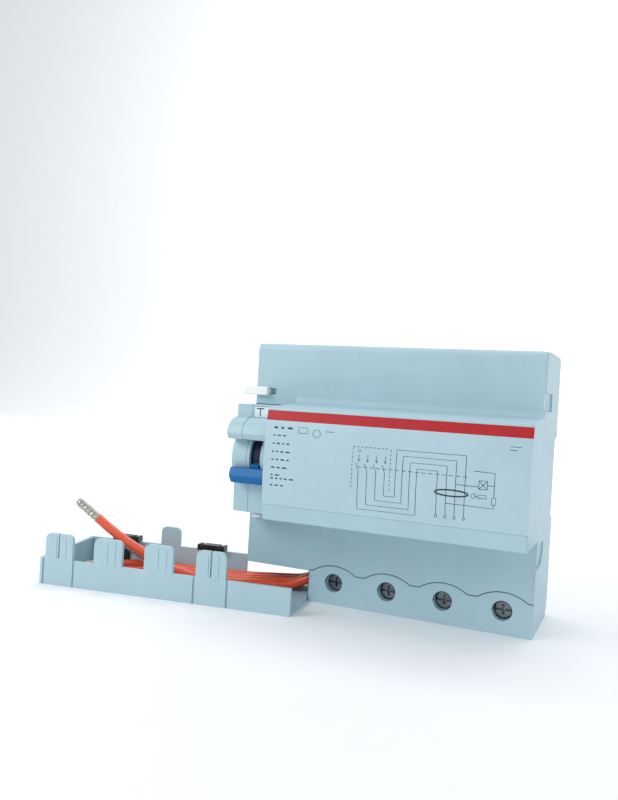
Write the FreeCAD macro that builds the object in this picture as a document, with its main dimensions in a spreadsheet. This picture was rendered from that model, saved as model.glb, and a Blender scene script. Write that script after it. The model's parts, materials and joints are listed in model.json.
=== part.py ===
import FreeCAD, Part
import math
import os
import re

import Sketcher
from FreeCAD import Placement, Rotation, Vector

# Add-on residual current block for a modular breaker, with its wire tray.
# Frame: +X right, +Y back, +Z up. The origin is on the rail seat, at the
# middle of the 35 mm rail and of the block's width. The front is towards -Y.

doc = FreeCAD.newDocument("residual_current_block")
sheet = doc.addObject("Spreadsheet::Sheet", "dims")

SIZES = {
    # block
    "module_pitch": 17.5,      # one modular width
    "module_count": 7,
    "top_above_axis": 49.5,    # top face above the rail's middle
    "base_below_axis": 59.5,
    "shoulder_depth": 38,      # shoulder front ahead of the rail seat
    "split_depth": 30,         # joint between the two cases
    "rear_depth": 6,           # upper back face behind the rail seat
    "lower_rear_depth": 4,
    "wall": 2,
    "front_wall": 4,
    "rail_height": 35,
    "rail_play": 0.2,
    "hook_gap": 1.4,           # room for the rail's 1 mm flange
    "hook_reach": 2.3,
    "seat_half": 15.2,         # half the height of the pad that the rail rests on
    "seat_relief": 0.3,
    # nose
    "nose_depth": 64,
    "nose_top": 22.1,
    "nose_base": 22.9,
    "nose_radius": 114,        # the front is slightly crowned
    "nose_rise": 2.1,          # its top slopes up to the shoulder
    "plate_thickness": 1.2,
    "plate_base": 16.5,
    "stripe_thickness": 0.4,
    "stripe_base": 17.1,
    "stripe_height": 3.9,
    # control module
    "cell_width": 19.5,
    "cell_depth": 54.2,
    "cell_half": 22.6,
    "left_shell_width": 7,
    "shell_wall": 1.5,
    "ridge_depth": 62.4,
    "ridge_height": 10.4,
    "cheek_radius": 12.3,
    "pivot_depth": 45,
    "pivot_height": 0.5,
    "drum_radius": 10.3,
    "drum_left": 8.65,         # from the block's left side
    "drum_width": 4.4,
    "running_gap": 0.3,
    "shaft_radius": 1.5,
    "pin_play": 0.05,
    # notch for the wires
    "notch_width": 30,
    "notch_height": 12.8,
    # terminals
    "terminal_pitch": 23.2,
    "terminal_edge": 11.6,
    "terminal_height": 9,
    "cover_thickness": 2,
    "cover_height": 13.1,
    "wave_radius": 16.2,
    "cover_play": 0.1,
    "access_radius": 3.75,
    "screw_radius": 2.4,
    "head_radius": 3.3,
    "head_depth": 34.5,
    "head_length": 3,
    "bar_depth": 15,
    "bar_thickness": 1.5,
    "bar_width": 6,
    "bar_top": 28.5,
    "cage_width": 8.4,
    "cage_height": 8,
    "cage_wall": 1.2,
    "wire_space": 8,
    "entry_radius": 4.2,
    # leads
    "lead_diameter": 4.2,
    "lead_pitch": 4.75,
    "first_lead_depth": 31.7,
    # residual current transformer
    "core_radius": 16.5,
    "core_bore": 10.3,
    "core_height": 12,
    "winding": 1,
    # tray
    "tray_length": 113,
    "tray_width": 43,
    "tray_floor": 2,
    "tray_wall": 1.8,
    "tray_front_height": 11,
    "tray_rear_height": 13.5,
    "tray_gap": 33,            # the rear wall stops short of the open end
    "tray_corner_right": 4,    # the open end's front corner, past the notch's side
    "tray_corner_ahead": 26.5, # and ahead of the shoulder
    "tray_yaw": 9,
    "finger_width": 13,
    "finger_rise": 11,
    "first_finger": 9.5,       # from the closed end to the finger's middle
    "rear_finger": 42,
    "rear_finger_width": 9.5,
    "left_tray_clip": 20,
    "right_tray_clip": 63,
    "tray_clip_width": 13,
    # relay and lever
    "relay_depth": 41.3,
    "relay_height": 11,
    "plunger_radius": 1.5,
    "plunger_play": 0.2,
    "lever_left": 46.2,
    "lever_height": 4,
    "lever_pin_radius": 0.8,
    "side_recess": 0.8,
    "button_room": 43.9,       # the button and its spring slide in a pocket this far down
    # latches
    "latch_inset": 40,
    "latch_half_width": 6.3,
    "latch_flange": 8.3,
    "latch_play": 0.2,
    "spring_seat": 50,         # the fixed end of the latch springs, below the rail's middle
}

DERIVED = {
    "right": "(module_pitch * module_count / 2)",
    "left": "(-right)",
    "nose_left": "(left + cell_width)",
    "notch_right": "(left + notch_width)",
    "base": "(-base_below_axis)",
    "notch_ceiling": "(base + notch_height)",
    "front": "(-shoulder_depth)",
    "parting": "(-split_depth)",
    "cheek_split": "(left + left_shell_width)",
    "axle_y": "(-pivot_depth)",
    "axle_z": "pivot_height",
    "screw_z": "(base + terminal_height)",
    "inner_front": "(front + front_wall)",
    "rear_floor": "(-wall)",
}

for row, (alias, size) in enumerate(SIZES.items(), 1):
    sheet.set(f"A{row}", alias)
    sheet.set(f"B{row}", str(size))
    sheet.setAlias(f"B{row}", alias)
doc.recompute()


def bind(text):
    """The expression with each named size read from the sheet."""
    text = str(text)
    while True:
        wider = re.sub(r"[a-z_]+", lambda word: DERIVED.get(word[0], word[0]), text)
        if wider == text:
            break
        text = wider
    return re.sub(r"[a-z_]+", lambda word: "dims." + word[0] if word[0] in SIZES else word[0], text)


def size(text):
    """The expression's value."""
    value = sheet.evalExpression(bind(text))
    return float(getattr(value, "Value", value))


def bound(obj, **expressions):
    for name, text in expressions.items():
        obj.setExpression(name, bind(text))
    return obj


def placed(obj, x, y, z):
    for axis, text in zip("xyz", (x, y, z)):
        obj.setExpression(f"Placement.Base.{axis}", bind(text))
    return obj


# ---- Part primitives ----

def box(name, x, y, z):
    """A box between two expressions on each axis."""
    solid = doc.addObject("Part::Box", name)
    for edge, (low, high) in zip(("Length", "Width", "Height"), (x, y, z)):
        solid.setExpression(edge, bind(f"({high}) - ({low})"))
    return placed(solid, x[0], y[0], z[0])


TURNS = {
    "x": Rotation(Vector(0, 1, 0), 90),
    "y": Rotation(Vector(1, 0, 0), -90),
    "z": Rotation(),
}


def rod(name, axis, start, radius, length):
    """A cylinder that runs along +axis from a point."""
    solid = doc.addObject("Part::Cylinder", name)
    solid.Placement = Placement(Vector(), TURNS[axis])
    bound(solid, Radius=radius, Height=length)
    return placed(solid, *start)


def fused(name, pieces):
    result = doc.addObject("Part::MultiFuse", name)
    result.Shapes = pieces
    return result


def cut(name, base, *tools):
    tool = tools[0] if len(tools) == 1 else fused(name + "_tools", list(tools))
    result = doc.addObject("Part::Cut", name)
    result.Base = base
    result.Tool = tool
    return result



def rounded(name, base, radius, wanted):
    """Fillets the edges that the test accepts."""
    doc.recompute()
    picked = [(i, radius, radius) for i, edge in enumerate(base.Shape.Edges, 1) if wanted(edge)]
    result = doc.addObject("Part::Fillet", name)
    result.Base = base
    result.Edges = picked
    return result


# ---- PartDesign ----

def body_named(name):
    return doc.addObject("PartDesign::Body", name)


def sketch_on(body, plane, offset):
    sketch = body.newObject("Sketcher::SketchObject", body.Name + "_sketch")
    support = [item for item in body.Origin.OriginFeatures if item.Role == plane][0]
    sketch.AttachmentSupport = [(support, "")]
    sketch.MapMode = "FlatFace"
    sketch.setExpression("AttachmentOffset.Base.z", bind(offset))
    return sketch


def pin(sketch, geometry, point, x, y):
    for kind, text in (("DistanceX", x), ("DistanceY", y)):
        rule = Sketcher.Constraint(kind, -1, 1, geometry, point, size(text))
        number = sketch.addConstraint(rule)
        sketch.setExpression(f"Constraints[{number}]", bind(text))


def arc_between(start, end, radius):
    """An arc that bulges to the right of the way from start to end, or to the left if negative."""
    chord = end - start
    half = chord.Length / 2
    back = math.sqrt(radius * radius - half * half)
    right = Vector(chord.y, -chord.x, 0).normalize()
    centre = (start + end) * 0.5 - right * math.copysign(back, radius)
    first, last = (start, end) if radius > 0 else (end, start)
    begin = math.atan2(first.y - centre.y, first.x - centre.x)
    finish = math.atan2(last.y - centre.y, last.x - centre.x)
    if finish < begin:
        finish += 2 * math.pi
    return Part.ArcOfCircle(Part.Circle(centre, Vector(0, 0, 1), abs(radius)), begin, finish)


def outline(sketch, corners):
    """A closed outline. A third value in a corner is the radius of the arc to the next one."""
    places = [Vector(size(corner[0]), size(corner[1]), 0) for corner in corners]
    first = sketch.GeometryCount
    ends = []
    for i, corner in enumerate(corners):
        start = places[i]
        end = places[(i + 1) % len(places)]
        if len(corner) == 3:
            radius = size(corner[2])
            sketch.addGeometry(arc_between(start, end, radius), False)
            ends.append((1, 2) if radius > 0 else (2, 1))
        else:
            sketch.addGeometry(Part.LineSegment(start, end), False)
            ends.append((1, 2))
    for i, corner in enumerate(corners):
        after = (i + 1) % len(corners)
        rule = Sketcher.Constraint("Coincident", first + i, ends[i][1], first + after, ends[after][0])
        sketch.addConstraint(rule)
    for i, corner in enumerate(corners):
        pin(sketch, first + i, ends[i][0], corner[0], corner[1])
        if len(corner) == 3:
            rule = Sketcher.Constraint("Radius", first + i, abs(size(corner[2])))
            number = sketch.addConstraint(rule)
            sketch.setExpression(f"Constraints[{number}]", bind(f"abs({corner[2]})"))
    return sketch


def circle(sketch, x, y, radius):
    number = sketch.addGeometry(Part.Circle(Vector(size(x), size(y), 0), Vector(0, 0, 1), size(radius)),
                                False)
    pin(sketch, number, 3, x, y)
    rule = sketch.addConstraint(Sketcher.Constraint("Radius", number, size(radius)))
    sketch.setExpression(f"Constraints[{rule}]", bind(radius))
    return sketch


def rectangle(sketch, x, y):
    return outline(sketch, [(x[0], y[0]), (x[1], y[0]), (x[1], y[1]), (x[0], y[1])])


def pad(body, sketch, length, backwards=False):
    feature = body.newObject("PartDesign::Pad", body.Name + "_pad")
    feature.Profile = sketch
    feature.Reversed = backwards
    return bound(feature, Length=length)


def pocket(body, sketch, length, backwards=False):
    """Cuts against the sketch's normal: towards +Y on XZ, -X on YZ and -Z on XY."""
    feature = body.newObject("PartDesign::Pocket", body.Name + "_pocket")
    feature.Profile = sketch
    feature.Reversed = backwards
    return bound(feature, Length=length)


def fillet(body, radius, wanted):
    """Fillets the edges of the body's tip that the test accepts."""
    doc.recompute()
    tip = body.Tip
    names = [f"Edge{i}" for i, edge in enumerate(tip.Shape.Edges, 1) if wanted(edge)]
    feature = body.newObject("PartDesign::Fillet", body.Name + "_fillet")
    feature.Base = (tip, names)
    return bound(feature, Radius=radius)


def along(edge, axis):
    """Whether a straight edge runs along an axis."""
    if edge.Curve.TypeId != "Part::GeomLine":
        return False
    way = edge.lastVertex().Point - edge.firstVertex().Point
    return abs(abs(getattr(way, axis)) - way.Length) < 1e-4


def middle(edge):
    return edge.CenterOfMass


def near(value, text):
    return abs(value - size(text)) < 0.01


parts = {}


def sub_part(name, obj):
    """Names a finished sub-part."""
    obj.Label = name
    parts[name] = obj
    return obj


def each_terminal():
    for place in range(4):
        yield place + 1, f"(right - terminal_edge - {3 - place} * terminal_pitch)"


# ---- cases ----

def wave(play):
    """The terminal cover's outline, with one arch over each screw."""
    low = f"(base + cover_height + {play})"
    reach = f"sqrt((wave_radius + {play})^2 - (cover_height + {play})^2)"
    radius = f"(wave_radius + {play})"
    corners = [("right", low), ("right", "base"), ("notch_right", "base"), ("notch_right", low)]
    for _, x in each_terminal():
        corners.append((f"{x} - {reach}", low, f"-{radius}"))
        corners.append((f"{x} + {reach}", low))
    return corners


def case_outline(margin):
    """The block's outline seen from the front, with the wire notch, moved inwards."""
    return [
        (f"left + {margin}", f"notch_ceiling + {margin}"),
        (f"notch_right + {margin}", f"notch_ceiling + {margin}"),
        (f"notch_right + {margin}", f"base + {margin}"),
        (f"right - {margin}", f"base + {margin}"),
        (f"right - {margin}", f"top_above_axis - {margin}"),
        (f"left + {margin}", f"top_above_axis - {margin}"),
    ]


def crown(z, inset):
    """How far forward the nose's crowned front is at a height, as a Y expression."""
    radius = f"(nose_radius - ({inset}))"
    centre = "((nose_top - nose_base) / 2)"
    half = "((nose_top + nose_base) / 2)"
    return f"(-nose_depth + sqrt(nose_radius^2 - {half}^2) - sqrt({radius}^2 - ({z} - {centre})^2))"


def nose_outline(inset, back):
    top = f"(nose_top - {inset})"
    low = f"(-nose_base + {inset})"
    return [
        (back, f"{top} + nose_rise"),
        (crown(top, inset), top, f"nose_radius - {inset}"),
        (crown(low, inset), low),
        (back, low),
    ]


def lead_window(body):
    """The corner window that the four leads pass through."""
    sketch = sketch_on(body, "YZ_Plane", "notch_right + wall + 0.1")
    far = "(-first_lead_depth + 3 * lead_pitch + 2.6)"
    rectangle(sketch, ("-first_lead_depth - 2.4", far), ("notch_ceiling - 6.4", "notch_ceiling + 2.3"))
    pocket(body, sketch, "wall + 0.1")


def side_recesses(body):
    """Two shallow grips in the block's right side."""
    upper = sketch_on(body, "YZ_Plane", "right")
    rectangle(upper, ("front + 0.01", "front + 20"), ("26.5", "33.5"))
    pocket(body, upper, "side_recess")
    lower = sketch_on(body, "YZ_Plane", "right")
    outline(lower, [("front + 0.01", "-33.5"), ("front + 13", "-33.5"), ("front + 18", "-29"),
                    ("front + 18", "-24.5"), ("front + 0.01", "-24.5")])
    pocket(body, lower, "side_recess")


def front_case():
    body = body_named("front_case_body")
    pad(body, outline(sketch_on(body, "XZ_Plane", "split_depth"), case_outline("0")),
        "shoulder_depth - split_depth")
    nose = outline(sketch_on(body, "YZ_Plane", "nose_left"), nose_outline("0", "front + 1"))
    pad(body, nose, "right - nose_left")
    # rounded corners: the nose's foot, its front edges and the shoulder's front edges
    fillet(body, "3", lambda edge: along(edge, "x") and near(middle(edge).y, "front")
           and middle(edge).z > size("nose_top"))
    fillet(body, "0.8", lambda edge: along(edge, "x") and middle(edge).y < size("-nose_depth + 0.1"))
    fillet(body, "0.8", lambda edge: near(middle(edge).y, "front") and middle(edge).z > size("nose_top + 6")
           and (along(edge, "x") or along(edge, "z")))
    # hollows
    pocket(body, outline(sketch_on(body, "XZ_Plane", "split_depth - 0.1"), case_outline("wall")),
           "shoulder_depth - split_depth - front_wall + 0.1", True)
    hollow = outline(sketch_on(body, "YZ_Plane", "right - wall"), nose_outline("(wall + plate_thickness)",
                                                                              "inner_front + 0.5"))
    pocket(body, hollow, "right - nose_left - 2 * wall")
    opening = rectangle(sketch_on(body, "XZ_Plane", "shoulder_depth"),
                        ("left + wall", "nose_left - wall"), ("-cell_half + wall", "cell_half - wall"))
    pocket(body, opening, "front_wall")
    # seat of the label plate
    top = "(nose_top - 1)"
    seat = sketch_on(body, "YZ_Plane", "right")
    outline(seat, [
        (crown(top, "-2"), top, "nose_radius + 2"),
        (crown("(-plate_base)", "-2"), "-plate_base"),
        (crown("(-plate_base)", "plate_thickness"), "-plate_base", "-(nose_radius - plate_thickness)"),
        (crown(top, "plate_thickness"), top),
    ])
    pocket(body, seat, "right - nose_left")
    # seat of the terminal cover
    cover = outline(sketch_on(body, "XZ_Plane", "shoulder_depth"), wave("cover_play"))
    pocket(body, cover, "cover_thickness")
    access = sketch_on(body, "XZ_Plane", "shoulder_depth")
    for _, x in each_terminal():
        circle(access, x, "screw_z", "access_radius")
    pocket(body, access, "front_wall")
    # way through for the relay's plunger
    plunger = circle(sketch_on(body, "YZ_Plane", "nose_left + wall + 0.1"), "-relay_depth", "relay_height",
                     "plunger_radius + plunger_play")
    pocket(body, plunger, "wall + 0.1")
    # slots of the coupling clips
    upper = rectangle(sketch_on(body, "XZ_Plane", "shoulder_depth"), ("left", "left + 9.5"),
                      ("27.2", "29.8"))
    pocket(body, upper, "2.2")
    lower = rectangle(sketch_on(body, "XZ_Plane", "shoulder_depth"), ("left + 2", "left + 9.5"),
                      ("-27", "-25.2"))
    pocket(body, lower, "2.2")
    # gap beside the control module's foot
    gap = rectangle(sketch_on(body, "XZ_Plane", "shoulder_depth"), ("left", "left + 1.9"), ("-25", "-22.6"))
    pocket(body, gap, "shoulder_depth - split_depth")
    lead_window(body)
    side_recesses(body)
    return sub_part("front_case", body)


def rear_case():
    body = body_named("rear_case_body")
    half = "(rail_height / 2 + rail_play)"
    profile = outline(sketch_on(body, "YZ_Plane", "left"), [
        ("parting", "base"),
        ("lower_rear_depth - 3", "base"),
        ("lower_rear_depth", "base + 6"),
        ("lower_rear_depth", f"-{half}"),
        ("-seat_relief", f"-{half}"),
        ("-seat_relief", "-seat_half"),
        ("0", "-seat_half"),
        ("0", "seat_half"),
        ("-seat_relief", "seat_half"),
        ("-seat_relief", half),
        ("hook_gap", half),
        ("hook_gap", f"{half} - hook_reach"),
        ("rear_depth", f"{half} - hook_reach"),
        ("rear_depth", "top_above_axis - 3", "3"),
        ("rear_depth - 3", "top_above_axis"),
        ("parting", "top_above_axis"),
    ])
    pad(body, profile, "right - left")
    notch = rectangle(sketch_on(body, "XZ_Plane", "split_depth"),
                      ("left", "notch_right"), ("base", "notch_ceiling"))
    pocket(body, notch, "split_depth + rear_depth")
    hollow = outline(sketch_on(body, "XZ_Plane", "split_depth"), case_outline("wall"))
    pocket(body, hollow, "split_depth - wall")
    upper = rectangle(sketch_on(body, "XZ_Plane", "split_depth"), ("left + wall", "right - wall"),
                      (f"{half} + wall", "top_above_axis - wall"))
    pocket(body, upper, "split_depth + rear_depth - wall")
    # T-shaped ways of the two rail latches
    for x in ("latch_left", "latch_right"):
        centre = LATCH_X[x]
        wide = rectangle(sketch_on(body, "XZ_Plane", "-2.2"),
                         (f"{centre} - latch_flange - latch_play", f"{centre} + latch_flange + latch_play"),
                         ("base", f"-{half}"))
        pocket(body, wide, "1.9", True)
        mouth = rectangle(sketch_on(body, "XZ_Plane", "-0.3"),
                          (f"{centre} - latch_half_width - latch_play",
                           f"{centre} + latch_half_width + latch_play"),
                          ("base", f"-{half}"))
        pocket(body, mouth, "lower_rear_depth")
        post = rectangle(sketch_on(body, "XZ_Plane", "-0.3"), (f"{centre} - 2.1", f"{centre} + 2.1"),
                         ("-spring_seat - 1.5", "-spring_seat"))
        pad(body, post, "3.2", True)
    # wire ways into the cages
    entries = sketch_on(body, "XY_Plane", "base + wall + 0.1")
    for _, x in each_terminal():
        circle(entries, x, "-bar_depth + bar_thickness + wire_space / 2", "entry_radius")
    pocket(body, entries, "wall + 0.1")
    lead_window(body)
    side_recesses(body)
    return sub_part("rear_case", body)


LATCH_X = {"latch_left": "(left + latch_inset)", "latch_right": "(right - latch_inset)"}


def terminal_cover():
    body = body_named("terminal_cover_body")
    plate = outline(sketch_on(body, "XZ_Plane", "shoulder_depth - cover_thickness"), wave("0"))
    pad(body, plate, "cover_thickness")
    holes = sketch_on(body, "XZ_Plane", "shoulder_depth")
    for _, x in each_terminal():
        circle(holes, x, "screw_z", "access_radius")
    pocket(body, holes, "cover_thickness")
    return sub_part("terminal_cover", body)


def label_plate():
    top = "(nose_top - 1)"
    body = body_named("label_plate_body")
    plate = outline(sketch_on(body, "YZ_Plane", "nose_left"), [
        (crown(top, "0"), top, "nose_radius"),
        (crown("(-plate_base)", "0"), "-plate_base"),
        (crown("(-plate_base)", "plate_thickness"), "-plate_base", "-(nose_radius - plate_thickness)"),
        (crown(top, "plate_thickness"), top),
    ])
    pad(body, plate, "right - nose_left")
    low = "stripe_base"
    high = "(stripe_base + stripe_height)"
    groove = outline(sketch_on(body, "YZ_Plane", "right"), [
        (crown(high, "-1"), high),
        (crown(low, "-1"), low),
        (crown(low, "stripe_thickness"), low),
        (crown(high, "stripe_thickness"), high),
    ])
    pocket(body, groove, "right - nose_left")
    sub_part("label_plate", body)
    body = body_named("label_stripe_body")
    stripe = outline(sketch_on(body, "YZ_Plane", "nose_left"), [
        (crown(high, "0"), high),
        (crown(low, "0"), low),
        (crown(low, "stripe_thickness"), low),
        (crown(high, "stripe_thickness"), high),
    ])
    pad(body, stripe, "right - nose_left")
    sub_part("label_stripe", body)


# ---- control module ----

def module_outline():
    """The module seen from the side, as (Y, Z) corners."""
    up = "sqrt(cheek_radius^2 - 7^2)"
    down = "sqrt(cheek_radius^2 - 8^2)"
    return [
        ("front", "-cell_half"),
        ("-cell_depth + 0.6", "-cell_half"),
        ("-cell_depth", "-11"),
        (f"axle_y - {down}", "axle_z - 8", "-cheek_radius"),
        (f"axle_y - {up}", "axle_z + 7"),
        ("-ridge_depth + 1.2", "ridge_height - 2.2"),
        ("-ridge_depth", "ridge_height", "-8"),
        ("-cell_depth", "ridge_height + 6.8"),
        ("-cell_depth", "cell_half"),
        ("front", "cell_half"),
    ]


def module_shell(name, start, width, hollow_start, hollow_width):
    body = body_named(name + "_body")
    pad(body, outline(sketch_on(body, "YZ_Plane", start), module_outline()), width)
    room = outline(sketch_on(body, "YZ_Plane", hollow_start), [
        ("front", "-cell_half + shell_wall"),
        ("-cell_depth + 0.6 + shell_wall", "-cell_half + shell_wall"),
        ("-cell_depth + shell_wall + 0.3", "-10"),
        ("-cell_depth + shell_wall + 0.3", "cell_half - shell_wall"),
        ("front", "cell_half - shell_wall"),
    ])
    pocket(body, room, hollow_width, True)
    drum_room = circle(sketch_on(body, "YZ_Plane", hollow_start), "axle_y", "axle_z",
                       "drum_radius + running_gap")
    pocket(body, drum_room, hollow_width, True)
    return body


def control_module():
    left = module_shell("trip_module_left_shell", "left", "left_shell_width - 0.05",
                        "left + shell_wall", "left_shell_width")
    # bearing of the handle's shaft
    hole = circle(sketch_on(left, "YZ_Plane", "left + shell_wall"), "axle_y", "axle_z", "shaft_radius")
    pocket(left, hole, "1")
    sub_part("trip_module_left_shell", left)
    right = module_shell("trip_module_right_shell", "cheek_split", "cell_width - left_shell_width - 0.1",
                         "cheek_split - 0.1", "cell_width - left_shell_width - shell_wall")
    hole = circle(sketch_on(right, "YZ_Plane", "nose_left - 0.8"), "axle_y", "axle_z", "shaft_radius")
    pocket(right, hole, "1.2")
    # slot of the handle's stem
    slot = rectangle(sketch_on(right, "XZ_Plane", "ridge_depth"),
                     ("left + drum_left - running_gap", "left + drum_left + drum_width + running_gap"),
                     ("-9.5", "axle_z + 7.1"))
    pocket(right, slot, "ridge_depth - pivot_depth")
    # window of the test button
    window = rectangle(sketch_on(right, "XZ_Plane", "cell_depth + 1"), BUTTON_X, BUTTON_Z)
    pocket(right, window, "cell_depth + 1 - button_room")
    plunger = circle(sketch_on(right, "YZ_Plane", "nose_left"), "-relay_depth", "relay_height",
                     "plunger_radius + plunger_play")
    pocket(right, plunger, "shell_wall + 0.2")
    pin_hole = circle(sketch_on(right, "XZ_Plane", "55.8"), "-lever_left", "lever_height",
                      "lever_pin_radius")
    pocket(right, pin_hole, "1.2")
    sub_part("trip_module_right_shell", right)
    shaft = rod("shaft", "x", ("left + shell_wall - 1", "axle_y", "axle_z"), "shaft_radius",
                "cell_width - 1.3")
    sub_part("handle_shaft", shaft)


BUTTON_X = ("cheek_split + 0.8", "nose_left - 1.1")
BUTTON_Z = ("cell_half - 5.6", "cell_half - 0.7")


def handle():
    body = body_named("handle_body")
    x = "left + drum_left"
    drum = circle(sketch_on(body, "YZ_Plane", x), "axle_y", "axle_z", "drum_radius")
    pad(body, drum, "drum_width")
    stem = outline(sketch_on(body, "YZ_Plane", x), [
        ("axle_y - 8", "-1.6"),
        ("axle_y - 8", "-7"),
        ("-56.6", "-9.2"),
        ("-57.6", "-2.4"),
    ])
    pad(body, stem, "drum_width")
    bar = outline(sketch_on(body, "YZ_Plane", "left + 1.4"), [
        ("-57.9", "-3.6"),
        ("-56.2", "-10.1"),
        ("-59.4", "-10.1"),
        ("-61.6", "-7"),
        ("-60.5", "-3.6"),
    ])
    pad(body, bar, "cell_width - 3.2")
    fillet(body, "0.7", lambda edge: along(edge, "x") and middle(edge).y < -59)
    bore = circle(sketch_on(body, "YZ_Plane", x + " + drum_width"), "axle_y", "axle_z",
                  "shaft_radius + pin_play")
    pocket(body, bore, "drum_width")
    sub_part("handle", body)


def test_button():
    x_low = f"({BUTTON_X[0]} + 0.15)"
    x_high = f"({BUTTON_X[1]} - 0.15)"
    z_low = f"({BUTTON_Z[0]} + 0.15)"
    z_high = f"({BUTTON_Z[1]} - 0.15)"
    cap = box("button_cap", (x_low, x_high), ("-cell_depth - 0.2", "-cell_depth + 6"), (z_low, z_high))
    soft = rounded("button_soft", cap, 0.4, lambda edge: middle(edge).y < size("-cell_depth"))
    sub_part("test_button", soft)


def helix_spring(name, centre, axis, coil_radius, wire_radius, length, turns):
    """A coil spring along an axis, from its first end."""
    pitch = (length - 2 * wire_radius) / turns
    path = Part.makeHelix(pitch, pitch * turns, coil_radius)
    section = Part.Wire([Part.makeCircle(wire_radius, Vector(coil_radius, 0, 0), Vector(0, 1, 0))])
    coil = Part.Wire(path).makePipeShell([section], True, True)
    spring = doc.addObject("Part::Feature", name + "_coil")
    spring.Shape = coil
    lift = TURNS[axis].multVec(Vector(0, 0, wire_radius))
    spring.Placement = Placement(centre + lift, TURNS[axis])
    return sub_part(name, spring)


# ---- trip relay and lever ----

def relay():
    """A U frame with its coil, and the plunger that pushes the trip lever."""
    axis = ("-relay_depth", "relay_height")
    outer = box("relay_outer", ("-38", "-19"), ("-relay_depth - 5.7", "-relay_depth + 5.9"),
                ("relay_height - 6", "relay_height + 6"))
    inner = box("relay_inner", ("-36.8", "-20.2"), ("-relay_depth - 6.7", "-relay_depth + 4.7"),
                ("relay_height - 4.8", "relay_height + 4.8"))
    bore_radius = "plunger_radius + plunger_play + 0.05"
    hole = rod("relay_hole", "x", ("-39", *axis), bore_radius, "3")
    sub_part("relay_frame", cut("relay_u", outer, inner, hole))
    coil = rod("coil_outer", "x", ("-36.8", *axis), "4.4", "16.6")
    bore = rod("coil_bore", "x", ("-36.8", *axis), bore_radius, "12")
    sub_part("relay_coil", cut("coil_cut", coil, bore))
    sub_part("relay_plunger", rod("plunger", "x", ("-43.9", *axis), "plunger_radius", "16.7"))


def trip_lever():
    x = "-lever_left"
    z = "lever_height"
    hub = rod("lever_hub", "y", (x, "-42.6", z), "lever_pin_radius + 0.9", "3.4")
    arm = box("lever_arm", (f"{x} + 0.3", f"{x} + 1.7"), ("-42.6", "-39.2"), (f"{z} - 1", f"{z} + 10"))
    bore = rod("lever_bore", "y", (x, "-43.6", z), "lever_pin_radius + pin_play", "6")
    sub_part("trip_lever", cut("lever_cut", fused("lever_solid", [hub, arm]), bore))
    sub_part("trip_lever_pin", rod("lever_pin", "y", (x, "-55.8", z), "lever_pin_radius", "17.4"))


# ---- residual current transformer, board and leads ----

def transformer():
    centre = ("-22", "-first_lead_depth + 1.5 * lead_pitch", "-12")
    core = rod("core_outer", "z", centre, "core_radius", "core_height")
    bore = rod("core_inner", "z", centre, "core_bore", "core_height")
    core = sub_part("toroid_core", cut("core_cut", core, bore))
    low = (centre[0], centre[1], f"{centre[2]} - winding")
    outer = rod("winding_outer", "z", low, "core_radius + winding", "core_height + 2 * winding")
    inner = rod("winding_inner", "z", low, "core_bore - winding", "core_height + 2 * winding")
    outer.Angle = 70
    outer.Placement = Placement(Vector(), Rotation(Vector(0, 0, 1), -35))
    placed(outer, *low)
    core_copy = rod("winding_core", "z", centre, "core_radius", "core_height")
    core_bore = rod("winding_bore", "z", centre, "core_bore", "core_height")
    ring = cut("winding_seat", core_copy, core_bore)
    sub_part("toroid_winding", cut("winding_cut", outer, inner, ring))


def electronics():
    board = box("board", ("-2", "56"), ("-52.6", "-51"), ("-18", "17"))
    sub_part("circuit_board", board)
    pieces = [
        rod("varistor", "y", ("8", "-51", "8"), "4.5", "3.5"),
        rod("capacitor", "y", ("22", "-51", "7"), "4", "9"),
        rod("small_capacitor", "y", ("33", "-51", "9"), "2.6", "7"),
        box("chip", ("40", "50"), ("-51", "-49.4"), ("2", "9")),
        box("bridge", ("40", "48"), ("-51", "-46"), ("-12", "-5")),
    ]
    sub_part("board_components", fused("board_pieces", pieces))
    sub_part("test_resistor", rod("resistor", "x", ("6", "-49.2", "-10"), "1.8", "14"))
    blades = [
        box("blade_front", ("left + 9.75", "left + 16.75"), ("-44", "-43.5"), ("15", "21")),
        box("blade_rear", ("left + 9.75", "left + 16.75"), ("-40.6", "-40.1"), ("15", "21")),
    ]
    sub_part("test_contact_blades", fused("blades", blades))


def tube(name, points, diameter):
    """A round tube of straight runs joined by tangent arcs, and its printed radii."""
    places = [Vector(*point) for point in points]
    edges = []
    here = places[0]
    radii = []
    for before, corner, after in zip(places, places[1:], places[2:]):
        run_in = (corner - before).normalize()
        run_out = (after - corner).normalize()
        half_turn = run_in.getAngle(run_out) / 2
        shorter = min(corner.distanceToPoint(before), after.distanceToPoint(corner))
        reach = 0.45 * shorter
        radii.append(reach / math.tan(half_turn))
        start = corner - run_in * reach
        end = corner + run_out * reach
        bisector = (run_out - run_in).normalize()
        centre = corner + bisector * (radii[-1] / math.cos(half_turn))
        halfway = centre - bisector * radii[-1]
        edges.append(Part.LineSegment(here, start).toShape())
        edges.append(Part.Arc(start, halfway, end).toShape())
        here = end
    edges.append(Part.LineSegment(here, places[-1]).toShape())
    path = Part.Wire(edges)
    first_way = (places[1] - places[0]).normalize()
    section = Part.Wire([Part.makeCircle(diameter / 2, places[0], first_way)])
    solid = path.makePipeShell([section], True, False)
    ideal = math.pi * diameter * diameter / 4 * path.Length
    print(name, "length", round(path.Length, 1), "radii", [round(r, 1) for r in radii],
          "volume", round(solid.Volume / ideal, 4))
    cord = doc.addObject("Part::Feature", name + "_tube")
    cord.Shape = solid
    return sub_part(name, cord)


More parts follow.
